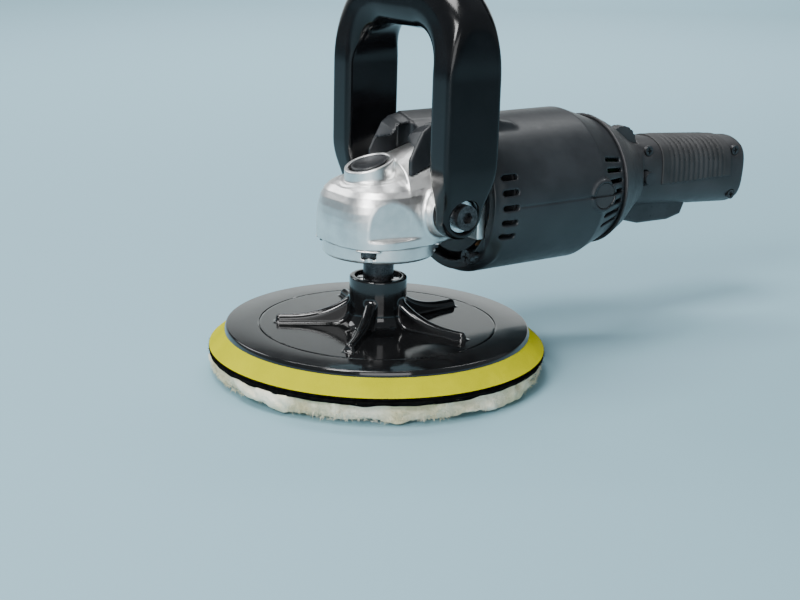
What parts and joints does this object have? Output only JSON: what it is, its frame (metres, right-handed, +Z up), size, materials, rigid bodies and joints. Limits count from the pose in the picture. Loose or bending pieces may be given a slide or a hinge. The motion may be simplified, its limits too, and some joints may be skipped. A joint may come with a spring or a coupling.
{
  "type": "rotary polisher",
  "caption": "Corded rotary car polisher with a bevel gear head, a bow front handle, a trigger handle at the rear, and a round foam pad that carries a wool bonnet by hook and loop.",
  "frame": {"origin": "spindle axis on the work face of the wool bonnet", "axes": "+Z up along the spindle, +X to the rear handle, Y across the machine"},
  "size_m": [0.3589, 0.1808, 0.212],
  "materials": {
    "wool": "short sheepskin pile",
    "loop_cloth": "knitted loop",
    "hook_cloth": "fuzzy hook",
    "yellow_foam": "fine open cells",
    "plate_plastic": "moulded gloss",
    "zinc": "bright zinc",
    "black_steel": "black oxide",
    "gear_steel": "machined",
    "bearing_steel": "ground",
    "cage_brass": "pressed",
    "cast_aluminium": "blasted die casting",
    "bronze": "sintered",
    "button_plastic": "satin",
    "spring_steel": "drawn wire",
    "laminations": "stacked sheet",
    "copper": "enamelled winding",
    "fan_plastic": "moulded",
    "carbon": "pressed carbon",
    "brass_sheet": "pressed",
    "housing_plastic": "gloss with fine texture",
    "handle_plastic": "fine grain",
    "soft_rubber": "ribbed soft grip",
    "screw_steel": "blackened",
    "switch_plastic": "moulded",
    "board": "lacquered board",
    "bow_plastic": "high gloss"
  },
  "bodies": {
    "machine": {"lower_bearing_cage": "cage_brass", "lower_bearing_outer": "bearing_steel", "dust_ring": "zinc", "bearing_cover": "cast_aluminium", "cover_screws": "screw_steel", "upper_spindle_bush": "bronze", "gear_housing": "cast_aluminium", "lock_spring": "spring_steel", "front_bearing_cage": "cage_brass", "front_bearing_outer": "bearing_steel", "bearing_retainer": "zinc", "rear_bearing_cage": "cage_brass", "rear_bearing_outer": "bearing_steel", "rear_bearing_boot": "soft_rubber", "stator_core": "laminations", "field_coils": "copper", "air_baffle": "fan_plastic", "carbon_brushes": "carbon", "brush_holders": "brass_sheet", "brush_springs": "spring_steel", "brush_caps": "handle_plastic", "motor_housing": "housing_plastic", "housing_screws": "screw_steel", "handle_shell_left": "handle_plastic", "handle_shell_right": "handle_plastic", "handle_screws": "screw_steel", "soft_grip": "soft_rubber", "trigger_spring": "spring_steel", "switch_body": "switch_plastic", "speed_board": "board", "cable_gland": "soft_rubber"},
    "spindle_pad": {"spindle": "black_steel", "bevel_gear": "gear_steel", "gear_key": "gear_steel", "gear_retaining_ring": "spring_steel", "lower_bearing_inner": "bearing_steel", "threaded_insert": "zinc", "backing_plate": "plate_plastic", "foam_pad": "yellow_foam", "hook_layer": "hook_cloth", "bonnet_backing": "loop_cloth", "wool_bonnet": "wool"},
    "armature": {"armature_shaft": "bearing_steel", "armature_core": "laminations", "armature_windings": "copper", "commutator": "copper", "cooling_fan": "fan_plastic", "pinion": "gear_steel", "pinion_nut": "screw_steel", "front_bearing_inner": "bearing_steel", "rear_bearing_inner": "bearing_steel"},
    "lock": {"lock_button": "button_plastic"},
    "trigger_lever": {"trigger": "button_plastic"},
    "lock_on": {"lock_on_button": "button_plastic"},
    "dial": {"speed_dial": "handle_plastic"},
    "bow": {"bow_handle": "bow_plastic", "bow_screws": "screw_steel", "bow_washers": "zinc"}
  },
  "joints": [
    {"name": "spindle_spin", "type": "hinge", "parent": "machine", "child": "spindle_pad", "pos_m": [0, 0, 0.05], "axis": [0, 0, 1], "continuous": true},
    {"name": "motor_spin", "type": "hinge", "parent": "machine", "child": "armature", "pos_m": [0.08, 0, 0.091], "axis": [1, 0, 0], "continuous": true},
    {"name": "lock_press", "type": "slide", "parent": "machine", "child": "lock", "axis": [0, 0, -1], "range_m": [0, 0.0032], "stiffness_N_per_m": 1200, "springref_m": -0.002, "deforming": ["lock_spring"]},
    {"name": "trigger_pull", "type": "hinge", "parent": "machine", "child": "trigger_lever", "pos_m": [0.17, 0, 0.0735], "axis": [0, -1, 0], "range_deg": [0, 7], "stiffness_Nm_per_rad": 1.5, "springref_deg": -4.58, "deforming": ["trigger_spring"]},
    {"name": "lock_on_press", "type": "slide", "parent": "machine", "child": "lock_on", "axis": [0, 1, 0], "range_m": [0, 0.0025], "stiffness_N_per_m": 600, "springref_m": -0.001},
    {"name": "dial_turn", "type": "hinge", "parent": "machine", "child": "dial", "pos_m": [0.163, 0, 0.11], "axis": [0, 1, 0], "range_deg": [0, 270]},
    {"name": "bow_tilt", "type": "hinge", "parent": "machine", "child": "bow", "pos_m": [0.02, 0, 0.091], "axis": [0, 1, 0], "range_deg": [-40, 10]}
  ],
  "couplings": [
    {"joint": "motor_spin", "follows": "spindle_spin", "ratio": 5}
  ]
}
